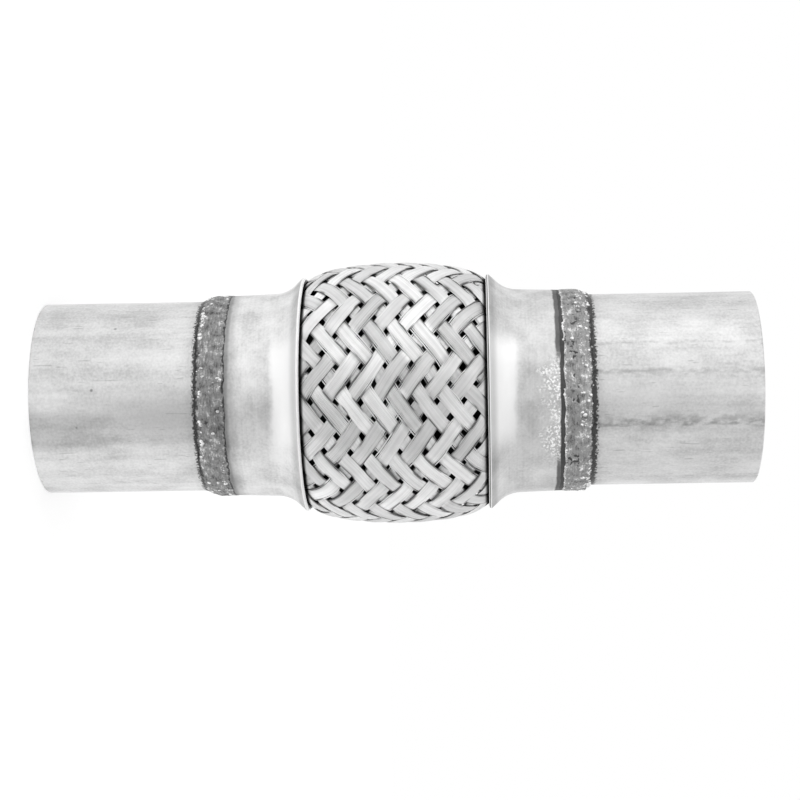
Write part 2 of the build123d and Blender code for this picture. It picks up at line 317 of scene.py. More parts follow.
def pressed_collar_steel(name, greys, roughness, tint_and_shadow_bands, scuffs, rim_split_shade, smudge_place):
    """Deep drawn stainless sheet: paler and smoother than the tube, with a painted highlight on the
    front of the flare and along the lip's edge, a soft smudge, and scuffs beside the weld. A dark
    band along the weld, darkest at the bead, is welding tint on the outlet collar and painted
    shadow of the bead on the inlet collar. The press marks round it and the grain are drawn coarser than
    they are, so that they show."""
    material, tree = new_material(name)
    place = add(tree, "ShaderNodeTexCoord").outputs["Object"]
    tone = cloud(tree, place, 7 * mm)
    press_marks = cloud(tree, place, 0.6 * mm, 3.0, (40, 40, 1))
    grain = cloud(tree, place, 0.7 * mm, 3.0)
    for weight, pattern in ((0.20, press_marks), (0.28, grain)):
        tone = add(tree, "ShaderNodeMix", [weight, tone, pattern])
    colour = add(tree, "ShaderNodeValToRGB", [tone], greys)
    from_middle = height_from_middle(tree, place)
    from_lip = add(tree, "ShaderNodeMath", [from_middle, middle - lip], operation="SUBTRACT")
    before_weld = add(tree, "ShaderNodeMath", [middle - weld_high.z, from_middle], operation="SUBTRACT")
    # painted highlight on the flare, brightest at its front
    flare_edge = ragged(tree, place, from_lip, 6 * mm, 3 * mm)
    front = facing_share(tree, place)
    painted_flare_highlight = share_within(tree, (flare_edge, 8.2 * mm, 10.4 * mm, 1.0, 0.0), (front, 0.78, 0.96, 0.0, 1.0))
    colour = add(tree, "ShaderNodeMix", [painted_flare_highlight, colour, linear("#FCFCFC")], **tint)
    # scuffs lie on the handled side, where the outer heat band is nearly rubbed off
    handled_side = (facing_share(tree, place, scuff_turn), 0.80, 0.95, 0.0, scuffs)
    # dark bands along the weld: welding tint on the outlet collar, painted shadow of the bead on the inlet
    # collar
    tint_and_shadow_edge = ragged(tree, place, before_weld, 5 * mm, -1.2 * mm)
    bands = [add(tree, "ShaderNodeMapRange", [tint_and_shadow_edge, *band, 1.0], **soft_step) for band in tint_and_shadow_bands]
    outer_band = add(tree, "ShaderNodeMix", [share_within(tree, handled_side), bands[1], 0.9])
    tint_and_shadow = add(tree, "ShaderNodeMath", [bands[0], outer_band], operation="MINIMUM")
    colour = add(tree, "ShaderNodeMix", [1.0, colour, tint_and_shadow], **darken)
    scuffed = share_within(
        tree,
        handled_side,
        (before_weld, 0.8 * mm, 1.3 * mm, 0.0, 1.0),
        (ragged(tree, place, before_weld, 3.5 * mm, 12 * mm, 2.0), 9.0 * mm, 13.5 * mm, 1.0, 0.0),
        (cloud(tree, place, 0.65 * mm, 5.0), 0.44, 0.62, 0.0, 1.0),
    )
    # a soft dark smudge, long round the collar and short along it
    off_centre = add(tree, "ShaderNodeVectorMath", [place, smudge_place], operation="SUBTRACT")
    smudge_size = (1 / (6 * mm), 1 / (6 * mm), 1 / (1.6 * mm))
    sized = add(tree, "ShaderNodeVectorMath", [off_centre, smudge_size], operation="MULTIPLY")
    off = add(tree, "ShaderNodeVectorMath", [sized], operation="LENGTH")
    colour = worn_and_shaded(tree, colour, (ragged(tree, place, off, 2.0 * mm, 1.6, 4.0), 1.0, 2.1, 0.88, 1.0))
    colour = add(tree, "ShaderNodeMix", [scuffed, colour, white], **tint)
    # painted shade just inside the lip's edge, painted shadow under the lip, and a painted highlight on the
    # lip's edge that a line of painted shade splits
    painted_crease_shade = (from_lip, 1.2 * mm, 3.0 * mm, 0.74, 1.0)
    shadow = (from_lip, -0.40 * mm, -0.22 * mm, 0.2, 1.0)
    rim_highlight_start = (from_lip, -0.28 * mm, -0.12 * mm, 0.0, 1.0)
    rim_highlight_end = (from_lip, 0.40 * mm, 0.60 * mm, 1.0, 0.0)
    painted_rim_highlight = share_within(tree, rim_highlight_start, rim_highlight_end)
    colour = add(tree, "ShaderNodeMix", [painted_rim_highlight, worn_and_shaded(tree, colour, painted_crease_shade, shadow), white], **tint)
    # a thin line of painted shade that splits the painted highlight on the lip's edge
    past_line = add(tree, "ShaderNodeMath", [from_lip, 0.12 * mm], operation="SUBTRACT")
    off_line = add(tree, "ShaderNodeMath", [past_line], operation="ABSOLUTE")
    colour = worn_and_shaded(tree, colour, (off_line, 0.08 * mm, 0.18 * mm, rim_split_shade, 1.0))
    rough = add(tree, "ShaderNodeMapRange", [tone, 0.38, 0.60, *roughness], **soft_step)
    matt = add(tree, "ShaderNodeMath", [painted_rim_highlight, scuffed], operation="MAXIMUM")
    rough = add(tree, "ShaderNodeMix", [matt, rough, 0.8])
    end_in_metal(tree, colour, rough, tone, 0.15, 0.05 * mm)
    return material


def weld_metal(name, greys, toe_shade):
    """Weld bead as it cools: mid grey and matt with brushed strokes and darker pools, a black
    ragged foot and a thin line along its toe, dark below a toe_shade of 1 and a painted highlight
    above it. bead_share runs from the pipe to the collar. Strokes and grit are drawn coarser than they are,
    so that they show."""
    material, tree = new_material(name)
    place = add(tree, "ShaderNodeTexCoord").outputs["Object"]
    share = add(tree, "ShaderNodeAttribute", attribute_name="bead_share").outputs["Fac"]
    tone = cloud(tree, place, 2.2 * mm, 3.0)
    strokes = cloud(tree, place, 0.45 * mm, 2.0, (3.5, 3.5, 1))
    grit = cloud(tree, place, 0.35 * mm, 2.0)
    for weight, pattern in ((0.40, strokes), (0.22, grit)):
        tone = add(tree, "ShaderNodeMix", [weight, tone, pattern])
    colour = add(tree, "ShaderNodeValToRGB", [tone], greys)
    edge = ragged(tree, place, share, 0.7 * mm, 0.22, 4.0)
    colour = worn_and_shaded(tree, colour, (edge, 0.17, 0.25, 0.20, 1.0), (edge, 1.025, 1.065, 1.0, toe_shade))
    end_in_metal(tree, colour, 0.45, tone, 0.8, 0.14 * mm, metallic=0.9)
    return material


def drawn_wire_steel():
    """Bright drawn stainless wire, laid so close that a strand looks like satin ribbon. Each float
    of a strand has its own tone, and painted shade darkens the strands' edges and the wires where
    they go under the collars' lips. rest_place keeps the pattern on the wires when the braid bends."""
    material, tree = new_material("drawn stainless wire")
    place = add(tree, "ShaderNodeAttribute", attribute_name="rest_place").outputs["Vector"]
    tone, wire_shade, painted_edge_shade = [
        add(tree, "ShaderNodeAttribute", attribute_name=name).outputs["Fac"]
        for name in ("float_tone", "wire_shade", "painted_edge_shade")
    ]
    for weight, pattern in ((0.45, cloud(tree, place, 5 * mm, 2.0)), (0.22, wire_shade)):
        tone = add(tree, "ShaderNodeMix", [weight, tone, pattern])
    greys = [(0.18, "#D0D0D0"), (0.5, "#E8E8E8"), (0.80, "#FFFFFF")]
    colour = add(tree, "ShaderNodeValToRGB", [tone], greys)
    from_middle = height_from_middle(tree, place)
    from_lip = add(tree, "ShaderNodeMath", [from_middle, middle - lip_inner_corner], operation="SUBTRACT")
    # painted shade along the strands' edges and where the wires go under the collars' lips
    painted_lip_shade = (from_lip, -1.1 * mm, -0.3 * mm, 1.0, 0.06)
    colour = worn_and_shaded(tree, colour, (painted_edge_shade, 0.0, 0.6, 1.0, 0.28), painted_lip_shade)
    rough = add(tree, "ShaderNodeMapRange", [tone, 0.2, 0.8, 0.46, 0.36], **soft_step)
    end_in_metal(tree, colour, rough)
    return material


def clouded_steel(name, greys, roughness, size=6.5 * mm, detail=4.0):
    """Plain steel, tinted in clouds of a size between greys, and evenly dull."""
    material, tree = new_material(name)
    place = add(tree, "ShaderNodeTexCoord").outputs["Object"]
    colour = add(tree, "ShaderNodeValToRGB", [cloud(tree, place, size, detail)], greys)
    end_in_metal(tree, colour, roughness)
    return material


def linked(name, data):
    """New object in the scene, at the origin."""
    made = bpy.data.objects.new(name, data)
    bpy.context.scene.collection.objects.link(made)
    return made


def between(first, last, count):
    """Values spread evenly from the first to just before the last."""
    return [first + (last - first) * i / count for i in range(count)]


def mirrored(outline):
    """The same outline at the outlet end."""
    return [(radius, overall_length - height) for radius, height in outline]


def lathe(name, outline, segments, material):
    """New piece turned about the axis, from a closed outline of radius and height or a function
    that gives the outline at an angle. Edges are sharp where the surface turns hard."""
    hard_turn = math.radians(35)
    vertices = []
    for angle in between(0, 2 * math.pi, segments):
        section = outline(angle) if callable(outline) else outline
        vertices += [(radius * math.cos(angle), radius * math.sin(angle), z) for radius, z in section]
    count = len(section)
    faces = []
    for segment in range(segments):
        here, after = segment * count, (segment + 1) % segments * count
        for i in range(count):
            j = (i + 1) % count
            faces.append((here + i, here + j, after + j, after + i))
    mesh = bpy.data.meshes.new(name)
    mesh.from_pydata(vertices, [], faces)
    shaped = bmesh.new()
    shaped.from_mesh(mesh)
    bmesh.ops.recalc_face_normals(shaped, faces=shaped.faces)
    for edge in shaped.edges:
        edge.smooth = edge.calc_face_angle() < hard_turn
    for face in shaped.faces:
        face.smooth = True
    shaped.to_mesh(mesh)
    shaped.free()
    mesh.materials.append(material)
    return linked(name, mesh)


def bell_radius(height, side):
    """Radius of the collar's outer face (side 1) or inner face (side -1) at a height on the bell."""
    rise = height - bell_foot
    bend = bell_bend_radius - side * collar_wall / 2
    if rise < bend * math.sin(bell_slope):
        return bell_centre_radius - math.sqrt(bend**2 - rise**2)
    past_bend = rise - bend * math.sin(bell_slope)
    return bell_centre_radius - bend * math.cos(bell_slope) + past_bend * math.tan(bell_slope)


def braid_mid_radius(height):
    """Radius halfway through the braid, a barrel between the lips that tucks into both bells."""
    from_middle = abs(height - middle)
    lip_from_middle = middle - lip_inner_corner
    if from_middle > lip_from_middle:
        return bell_radius(middle - from_middle, -1) - bell_clearance - braid_half_depth
    share = from_middle / lip_from_middle
    lip_drop = braid_radius - (bell_radius(lip_inner_corner, -1) - bell_clearance)
    shoulder = lip_drop - braid_crown
    outer = braid_radius - braid_crown * share**2 - shoulder * share**braid_shoulder_power
    return outer - braid_half_depth


# heights that a strand reaches after 0, 1, 2 ... small turns from the middle. Strands cross like a
# garden trellis, with equal lengths between crossings
table_steps_per_crossing = 50
table_step = turn_per_crossing / table_steps_per_crossing
table_count = (crossings_each_side + 1) * table_steps_per_crossing
substeps = 8
reach = 0.01 * mm
travel = strand_step * table_step / turn_per_crossing / substeps
height_table = [middle]
for _ in range(table_count):
    height = height_table[-1]
    for _ in range(substeps):
        around = braid_mid_radius(height) * table_step / substeps
        slope = (braid_mid_radius(height + reach) - braid_mid_radius(height - reach)) / (2 * reach)
        height += math.sqrt((travel**2 - around**2) / (1 + slope**2))
    height_table.append(height)


def height_at(turn):
    """Height after a turn from the middle, read between the table's entries."""
    place = min(abs(turn) / table_step, table_count - 1.001)
    low = int(place)
    height = height_table[low] + (height_table[low + 1] - height_table[low]) * (place - low)
    return height if turn >= 0 else overall_length - height


def braid_point(angle, turn):
    """Point halfway through the braid. The weave is a little uneven between the two lips."""
    height = height_at(turn)
    from_lip = middle - lip_inner_corner - abs(height - middle)
    slack = weave_slack * min(max(from_lip / weave_slack_reach, 0), 1)
    radius = braid_mid_radius(height)
    spot = Vector((radius * math.cos(angle), radius * math.sin(angle), height))
    drift = noise.noise_vector(spot / weave_slack_size) * slack
    height += drift.z
    angle += drift.x / radius
    radius = braid_mid_radius(height)
    return Vector((radius * math.cos(angle), radius * math.sin(angle), height))


def strand_path(name, first_angle, hand, seed):
    """One strand's centre line as a bare mesh line, in arched floats two over and two under. Each
    point carries the direction across the strand, which follows the strands that it crosses, the
    direction out of the braid, and the tone of its float."""
    drawn = random.Random(seed)
    float_tones = [drawn.random() for _ in range(2 * crossings_each_side)]
    wander_start = drawn.uniform(0, 100)
    ahead = turn_per_crossing / 20
    points, across_list, outward_list, tone_list = [], [], [], []
    for row in range(2 * crossings_each_side * rows_per_crossing):
        turn = ((row + 0.5) / rows_per_crossing - crossings_each_side) * turn_per_crossing
        angle = first_angle + hand * turn
        on = hand * ahead
        along = braid_point(angle + on, turn + ahead) - braid_point(angle - on, turn - ahead)
        across = braid_point(angle - on, turn + ahead) - braid_point(angle + on, turn - ahead)
        along.normalize()
        across.normalize()
        outward = along.cross(across).normalized() * hand
        across /= across.cross(along).length
        float_place = angle / (2 * turn_per_crossing)
        wave = math.sin(math.pi * float_place) * hand
        level = float_height * math.copysign(abs(wave) ** float_fullness, wave)
        wander = noise.noise(Vector((wander_start, row * wander_pace, 0))) * strand_wander
        points.append(braid_point(angle, turn) + outward * level + across * wander)
        across_list.append(across)
        outward_list.append(outward)
        tone_list.append(float_tones[int(float_place) % len(float_tones)])
    mesh = bpy.data.meshes.new(name)
    mesh.from_pydata(points, [(i, i + 1) for i in range(len(points) - 1)], [])
    for attribute_name, values in (("across", across_list), ("outward", outward_list)):
        attribute = mesh.attributes.new(attribute_name, "FLOAT_VECTOR", "POINT")
        attribute.data.foreach_set("vector", [part for value in values for part in value])
    tone = mesh.attributes.new("float_tone", "FLOAT", "POINT")
    tone.data.foreach_set("value", tone_list)
    return mesh


def started_tree(name, source, sizes, numbers, result):
    """New geometry nodes tree with inputs for a source, for sizes and for whole numbers, and an
    output for the result. Gives the tree and its inputs."""
    tree = bpy.data.node_groups.new(name, "GeometryNodeTree")
    for kind, socket_names in (("Geometry", [source]), ("Float", sizes), ("Int", numbers)):
        for socket_name in socket_names:
            tree.interface.new_socket(socket_name, in_out="INPUT", socket_type=f"NodeSocket{kind}")
    tree.interface.new_socket(result, in_out="OUTPUT", socket_type="NodeSocketGeometry")
    return tree, add(tree, "NodeGroupInput").outputs


def finished_tree(tree, geometry, material):
    """Ends a tree: the geometry with smooth faces, made real and given its material."""
    smooth = add(tree, "GeometryNodeSetShadeSmooth", {"Geometry": geometry, "Shade Smooth": True})
    real = add(tree, "GeometryNodeRealizeInstances", [smooth])
    finished = add(tree, "GeometryNodeSetMaterial", {"Geometry": real, "Material": material})
    add(tree, "NodeGroupOutput", [finished])
    return tree


def wire_bundle_tree(material):
    """Geometry nodes that lay a flat bundle of wires side by side along a strand's centre line."""
    seed_spacing = 3.71
    wire_spacing = 0.61
    loose_range = (0.46, 0.60)
    edge_shade_range = (0.45, 0.60)
    sizes = ["Wire Radius", "Bundle Width", "Breathing", "Stray", "Crown", "Jitter"]
    tree, entry = started_tree("wire bundle", "Path", sizes, ["Wires", "Seed"], "Wires Mesh")

    def wavering(value, length, row):
        """Noise that changes over a length along the strand and from one value to the next, with
        a row of its own."""
        along = add(tree, "GeometryNodeSplineParameter").outputs["Length"]
        lengths = add(tree, "ShaderNodeMath", [along, length], operation="DIVIDE")
        layer = add(tree, "ShaderNodeMath", [entry["Seed"], seed_spacing, row], operation="MULTIPLY_ADD")
        spot = add(tree, "ShaderNodeCombineXYZ", [value, lengths, layer])
        return add(tree, "ShaderNodeTexNoise", {"Vector": spot, "Scale": 1.0, "Detail": 1.0})

    line = add(tree, "GeometryNodeMeshToCurve", [entry["Path"]])
    amount = {"Geometry": line, "Amount": entry["Wires"]}
    copies = add(tree, "GeometryNodeDuplicateElements", amount, domain="SPLINE")
    wire = copies.outputs["Duplicate Index"]
    # where each wire lies across the bundle, from -1 to 1
    centre = add(tree, "ShaderNodeMath", [wire, 0.5], operation="ADD")
    share = add(tree, "ShaderNodeMath", [centre, entry["Wires"]], operation="DIVIDE")
    place = add(tree, "ShaderNodeMath", [share, 2.0, -1.0], operation="MULTIPLY_ADD")
    side = add(tree, "ShaderNodeMath", [place], operation="SIGN")
    from_centre = add(tree, "ShaderNodeMath", [place], operation="ABSOLUTE")
    outermost = add(tree, "ShaderNodeMath", [from_centre, 6.0], operation="POWER")
    # the bundle spreads and narrows along its length
    swelling = wavering(0.0, 14 * mm, 0.3)
    breath = add(tree, "ShaderNodeMath", [swelling, entry["Breathing"], 1.0], operation="MULTIPLY_ADD")
    breath = add(tree, "ShaderNodeMath", [entry["Breathing"], -0.5, breath], operation="MULTIPLY_ADD")
    sideways = place
    for factor in (breath, entry["Bundle Width"], 0.5):
        sideways = add(tree, "ShaderNodeMath", [sideways, factor], operation="MULTIPLY")
    # here and there the outermost wires leave the bundle
    straying = wavering(side, 12 * mm, 0.7)
    stray = add(tree, "ShaderNodeMapRange", [straying, *loose_range], **soft_step)
    for factor in (outermost, side):
        stray = add(tree, "ShaderNodeMath", [stray, factor], operation="MULTIPLY")
    sideways = add(tree, "ShaderNodeMath", [stray, entry["Stray"], sideways], operation="MULTIPLY_ADD")
    # no wire runs quite straight
    own_row = add(tree, "ShaderNodeMath", [wire, wire_spacing], operation="MULTIPLY")
    jitter = add(tree, "ShaderNodeMath", [wavering(own_row, 10 * mm, 0.1), 0.5], operation="SUBTRACT")
    sideways = add(tree, "ShaderNodeMath", [jitter, entry["Jitter"], sideways], operation="MULTIPLY_ADD")
    # the middle of the bundle stands a little higher than its edges
    outwards = place
    for factor in (place, entry["Crown"], -1.0):
        outwards = add(tree, "ShaderNodeMath", [outwards, factor], operation="MULTIPLY")
    shifts = []
    for direction, distance in (("across", sideways), ("outward", outwards)):
        towards = add(tree, "GeometryNodeInputNamedAttribute", [direction], data_type="FLOAT_VECTOR")
        shifts.append(add(tree, "ShaderNodeVectorMath", [towards, distance], operation="SCALE"))
    shift = add(tree, "ShaderNodeVectorMath", shifts, operation="ADD")
    strand = add(tree, "GeometryNodeSetPosition", {"Geometry": copies, "Offset": shift})
    # what the finish needs to know of each wire
    # painted shade here and there along the outermost wires, where strands lie side by side
    edge_shade_noise = wavering(side, 8 * mm, 0.9)
    edge_shade_step = add(tree, "ShaderNodeMapRange", [edge_shade_noise, *edge_shade_range], **soft_step)
    edge_shade_share = add(tree, "ShaderNodeMath", [edge_shade_step, outermost], operation="MULTIPLY")
    shade = add(tree, "FunctionNodeRandomValue", [0.0, 1.0, wire, entry["Seed"]], data_type="FLOAT")
    for name, value in (("painted_edge_shade", edge_shade_share), ("wire_shade", shade)):
        stored = {"Geometry": strand, "Name": name, "Value": value}
        strand = add(tree, "GeometryNodeStoreNamedAttribute", stored, data_type="FLOAT", domain="POINT")
    ring = add(tree, "GeometryNodeCurvePrimitiveCircle", [6, entry["Wire Radius"]])
    sweep = {"Curve": strand, "Profile Curve": ring, "Fill Caps": True}
    wires = add(tree, "GeometryNodeCurveToMesh", sweep)
    stored = {"Geometry": wires, "Name": "rest_place", "Value": add(tree, "GeometryNodeInputPosition")}
    placed = add(tree, "GeometryNodeStoreNamedAttribute", stored, data_type="FLOAT_VECTOR", domain="POINT")
    return finished_tree(tree, placed, material)


def spatter_tree(material):
    """Geometry nodes that strew small frozen drops over a bead, by its spatter_chance."""
    small_drop_power = 3.0
    drop_shape = (1.0, 1.25, 0.7)
    sizes = ["Density", "Smallest", "Largest"]
    tree, entry = started_tree("weld spatter", "Bead", sizes, ["Seed"], "Drops")
    chance = add(tree, "GeometryNodeInputNamedAttribute", ["spatter_chance"], data_type="FLOAT")
    density = add(tree, "ShaderNodeMath", [chance, entry["Density"]], operation="MULTIPLY")
    strewing = {"Mesh": entry["Bead"], "Density": density, "Seed": entry["Seed"]}
    points = add(tree, "GeometryNodeDistributePointsOnFaces", strewing)
    drop = add(tree, "GeometryNodeMeshIcoSphere", {"Radius": 1.0, "Subdivisions": 2})
    draw = add(tree, "FunctionNodeRandomValue", {"Seed": entry["Seed"]}, data_type="FLOAT")
    # most drops are small
    skewed = add(tree, "ShaderNodeMath", [draw, small_drop_power], operation="POWER")
    size_range = {"Value": skewed, "To Min": entry["Smallest"], "To Max": entry["Largest"]}
    size = add(tree, "ShaderNodeMapRange", size_range)
    scale = add(tree, "ShaderNodeVectorMath", [drop_shape, size], operation="SCALE")
    laying = {"Points": points, "Instance": drop, "Rotation": points.outputs["Rotation"], "Scale": scale}
    strewn = add(tree, "GeometryNodeInstanceOnPoints", laying)
    return finished_tree(tree, strewn, material)


def made_plain(mesh, tree, values, name, material):
    """New plain piece that a node tree makes from a mesh and the given inputs."""
    holder = linked(f"{name} holder", mesh)
    modifier = holder.modifiers.new("nodes", "NODES")
    modifier.node_group = tree
    for item in tree.interface.items_tree:
        if item.in_out == "INPUT" and item.name in values:
            modifier[item.identifier] = values[item.name]
    bpy.context.view_layer.update()
    evaluated = holder.evaluated_get(bpy.context.evaluated_depsgraph_get())
    plain = bpy.data.meshes.new_from_object(evaluated)
    plain.name = name
    # the tree can leave an empty slot
    plain.materials.clear()
    plain.materials.append(material)
    bpy.data.objects.remove(holder)
    return linked(name, plain)


def settle(piece, body, slot_name, *nodes):
    """Fixes a finished rigid piece to its body, in place of the nodes that it stands for."""
    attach(piece, body)
    if nodes:
        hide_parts(*nodes)


def settle_flexing(piece, node):
    """Bakes a finished piece between the two lips where it stands, in place of its node."""
    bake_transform(piece)
    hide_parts(node)


# extension pipes
pipe_segments = 256
pipe_rows = 24
bore_radius = pipe_radius - pipe_wall
pipe_outline = (
    [(pipe_radius - mouth_chamfer, 0.0)]
    + [(pipe_radius, z) for z in between(mouth_chamfer, pipe_length - mouth_chamfer, pipe_rows)]
    + [(pipe_radius, pipe_length - mouth_chamfer), (pipe_radius - mouth_chamfer, pipe_length)]
    + [(bore_radius + mouth_chamfer, pipe_length), (bore_radius, pipe_length - mouth_chamfer)]
    + [(bore_radius, mouth_chamfer), (bore_radius + mouth_chamfer, 0.0)]
)
tube_steel = rolled_tube_steel()
for end, outline in (("inlet", pipe_outline), ("outlet", mirrored(pipe_outline))):
    pipe = lathe(f"{end}_tube", outline, pipe_segments, tube_steel)
    settle(pipe, f"{end}_end", "pipe_steel", f"{end}_pipe")


# collars
def collar_face(side):
    """Outer face (side 1) or inner face (side -1) of the inlet collar, to half of its lip's edge."""
    neck_rows, bend_rows, rounding_rows = 8, 24, 6
    half = collar_wall / 2
    tilt = math.atan2(collar_neck_growth, collar_neck_length)
    bend = bell_bend_radius - side * half
    face = []
    for share in between(0, 1, neck_rows):
        face.append((
            neck_radius + collar_neck_growth * share + side * half * math.cos(tilt),
            collar_edge + collar_neck_length * share - side * half * math.sin(tilt) * (1 - share),
        ))
    for angle in between(0, bell_slope, bend_rows):
        face.append((bell_centre_radius - bend * math.cos(angle), bell_foot + bend * math.sin(angle)))
    lip_reach = bell_run * math.sin(bell_slope) - bell_bend_radius * math.cos(bell_slope)
    outward = Vector((math.cos(bell_slope), -math.sin(bell_slope))) * side
    along = Vector((math.sin(bell_slope), math.cos(bell_slope)))
    corner = Vector((bell_centre_radius + lip_reach, lip))
    pivot = corner + outward * (half - bell_rounding) - along * bell_rounding
    for turn in between(0, math.pi / 2, rounding_rows):
        face.append(tuple(pivot + (outward * math.cos(turn) + along * math.sin(turn)) * bell_rounding))
    return face


collar_segments = 224
collar_outline = collar_face(1) + collar_face(-1)[::-1]
inlet_collar_steel = pressed_collar_steel(
    "inlet collar stainless",
    greys=[(0.36, "#CECECE"), (0.5, "#E2E2E2"), (0.62, "#EEEEEE")],
    roughness=(0.60, 0.50),
    # painted shadow of the bead on the collar, in two soft bands
    tint_and_shadow_bands=[(-0.4 * mm, 1.4 * mm, 0.42), (0.2 * mm, 3.4 * mm, 0.7)],
    scuffs=0.0,
    rim_split_shade=1.0,
    smudge_place=(6.0 * mm, -29.0 * mm, 64.7 * mm),
)
outlet_collar_steel = pressed_collar_steel(
    "outlet collar stainless",
    greys=[(0.36, "#CACACA"), (0.5, "#DADADA"), (0.62, "#E6E6E6")],
    roughness=(0.68, 0.60),
    # welding tint beside the bead, in two bands
    tint_and_shadow_bands=[(0.2 * mm, 0.6 * mm, 0.15), (1.15 * mm, 1.65 * mm, 0.26)],
    scuffs=1.0,
    rim_split_shade=0.3,
    smudge_place=(9.0 * mm, -27.5 * mm, 137.0 * mm),
)
for end, outline, collar_steel in (
    ("inlet", collar_outline, inlet_collar_steel),
    ("outlet", mirrored(collar_outline), outlet_collar_steel),
):
    collar = lathe(f"{end}_pressed_collar", outline, collar_segments, collar_steel)
    settle(collar, f"{end}_end", "collar_steel", f"{end}_collar")


# weld beads, with the waves of their edges counted in a radius, and the noise of their skin in mm
bead_segments = 840
bead_rows = 38
bead_shares = [i / bead_rows for i in range(bead_rows + 1)]
bead_crown_share = 0.55
bead_crown = weld_high.x - pipe_radius
bead_toe_radius = neck_radius + collar_wall / 2
bead_toe_radius += collar_neck_growth * (weld_high.z - collar_edge) / collar_neck_length
bead_toe = bead_toe_radius + weld_toe - pipe_radius
sunk_edge = 0.25 * mm
edge_wander = 0.45 * mm
foot_waves = 7
toe_waves = 8
skin_radius = 28
skin_width = 8.6
swell_height = 0.25 * mm
swells_per_mm = 0.28
ridge_height = 0.30 * mm
ridges_per_mm = 0.8


def bead_rise(share):
    """How far a bead stands out of the pipe at a share of the way from its foot to its toe: a
    rounded rise to the crown, then a hollow run down to the collar."""
    if share < bead_crown_share:
        return bead_crown * math.sin(share / bead_crown_share * math.pi / 2) ** 0.8
    past_crown = (share - bead_crown_share) / (1 - bead_crown_share)
    return bead_crown + (bead_toe - bead_crown) * past_crown**2


def weld_bead(end, material, seed, inset):
    """Weld bead with wandering edges, low swellings along it and curled ridges, as a ring that
    closes inside the pipe's wall. Its foot stands back by the inset."""

    def skin(angle):
        """The bead's skin at an angle, from its foot to its toe."""
        here = Vector((math.cos(angle), math.sin(angle), 0))
        foot_spot = here * foot_waves + Vector((seed, 0, 0))
        toe_spot = here * toe_waves + Vector((0, seed, 0))
        foot_shift = noise.fractal(foot_spot, 0.9, 2.0, 4) * edge_wander + inset
        toe_shift = noise.fractal(toe_spot, 0.9, 2.0, 4) * edge_wander
        section = []
        for share in bead_shares:
            spot = here * skin_radius + Vector((0, seed, share * skin_width))
            swell = noise.fractal(spot * swells_per_mm, 0.9, 2.0, 3) * swell_height
            curl = abs(noise.fractal(spot * ridges_per_mm, 0.8, 2.0, 3)) * ridge_height
            if 0 < share < 1:
                skin_shift = math.sin(math.pi * share) ** 0.5 * (swell - curl)
            else:
                skin_shift = -sunk_edge
            height = weld_low.z + (weld_high.z - weld_low.z) * share
            shifted = height + foot_shift * (1 - share) + toe_shift * share
            section.append((pipe_radius + bead_rise(share) + skin_shift, shifted))
        return section if end == "inlet" else mirrored(section)

    bead = lathe(f"{end}_weld_bead", skin, bead_segments, material)
    across = bead.data.attributes.new("bead_share", "FLOAT", "POINT")
    across.data.foreach_set("value", bead_shares * bead_segments)
    return bead


def spatter(bead, end, rims, tree, seed):
    """Drops along the rims of a bead, thick in some patches and thin in others. Each rim is a
    share across it with a spread and a strength."""
    patch_size = 5 * mm
    patch_level, patch_swing, thinnest = 0.55, 1.4, 0.1
    mesh = bead.data.copy()
    chance = mesh.attributes.new("spatter_chance", "FLOAT", "POINT")
    for vertex, share in enumerate(bead_shares * bead_segments):
        near = sum(strength * math.exp(-(((share - painted_rim_highlight) / spread) ** 2)) for painted_rim_highlight, spread, strength in rims)
        patch = noise.noise(mesh.vertices[vertex].co / patch_size + Vector((seed, 0, 0)))
        chance.data[vertex].value = near * max(thinnest, patch_level + patch_swing * patch)
    drops = {"Density": 1.5e6, "Smallest": 0.10 * mm, "Largest": 0.58 * mm, "Seed": seed}
    return made_plain(mesh, tree, drops, f"{end}_weld_spatter", drop_steel)


inlet_bead_greys = [(0.36, "#4E4E4E"), (0.46, "#868686"), (0.55, "#989898"), (0.62, "#D4D4D4")]
outlet_bead_greys = [(0.36, "#5E5E5E"), (0.46, "#949494"), (0.55, "#A2A2A2"), (0.62, "#E0E0E0")]
inlet_bead_steel = weld_metal("inlet weld bead steel", inlet_bead_greys, 0.28)
# the outlet bead's toe line, at 1.8, is a painted highlight
outlet_bead_steel = weld_metal("outlet weld bead steel", outlet_bead_greys, 1.8)
# spatter is frozen drops, bright and a little glossy
drop_greys = [(0.38, "#9A9A9A"), (0.5, "#E0E0E0"), (0.6, "#FCFCFC")]
drop_steel = clouded_steel("weld spatter steel", drop_greys, 0.3, 1.1 * mm, 2.0)
drops_tree = spatter_tree(drop_steel)
inlet_rims = [(0.19, 0.04, 2.4), (0.80, 0.06, 0.5), (0.5, 0.4, 0.05)]
outlet_rims = [(0.97, 0.02, 0.8), (0.40, 0.08, 0.8), (0.14, 0.07, 1.2), (0.3, 0.3, 0.12)]
for end, seed, rims, bead_steel, inset in (
    ("inlet", 3, inlet_rims, inlet_bead_steel, 0.0),
    ("outlet", 8, outlet_rims, outlet_bead_steel, 0.4 * mm),
):
    bead = weld_bead(end, bead_steel, seed, inset)
    settle(spatter(bead, end, rims, drops_tree, seed), f"{end}_end", "weld_bead")
    settle(bead, f"{end}_end", "weld_bead", f"{end}_weld")


